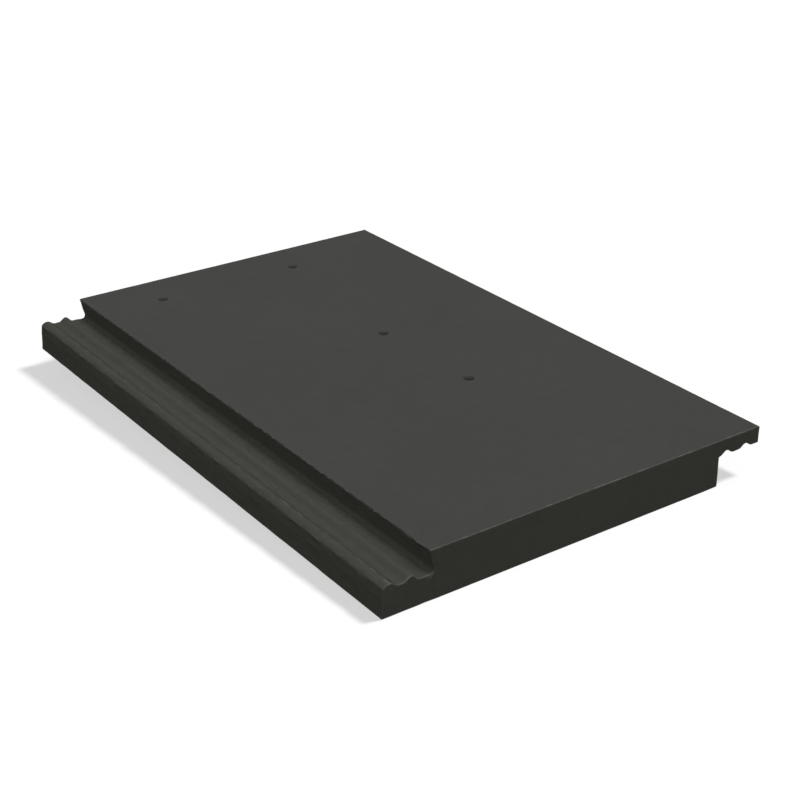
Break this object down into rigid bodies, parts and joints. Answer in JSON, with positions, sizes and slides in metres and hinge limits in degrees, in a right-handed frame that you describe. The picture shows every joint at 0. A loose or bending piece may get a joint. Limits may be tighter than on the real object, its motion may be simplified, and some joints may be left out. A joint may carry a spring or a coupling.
{
  "type": "concrete roof tile",
  "caption": "Flat interlocking concrete roof tile with a ribbed underlock rebate, an overlock edge, nail holes, batten nibs and a lightened underside.",
  "frame": {"origin": "middle of the tile's outline in plan, at the level of the undersides of the nibs", "axes": "+X across the roof from the underlock to the overlock, +Y up the slope from the nose to the head, +Z square to the top face"},
  "size_m": [0.282, 0.42, 0.0435],
  "materials": {
    "concrete": "satin through-coloured dark grey concrete"
  },
  "bodies": {
    "root": {"roof_tile": "concrete"}
  },
  "joints": []
}
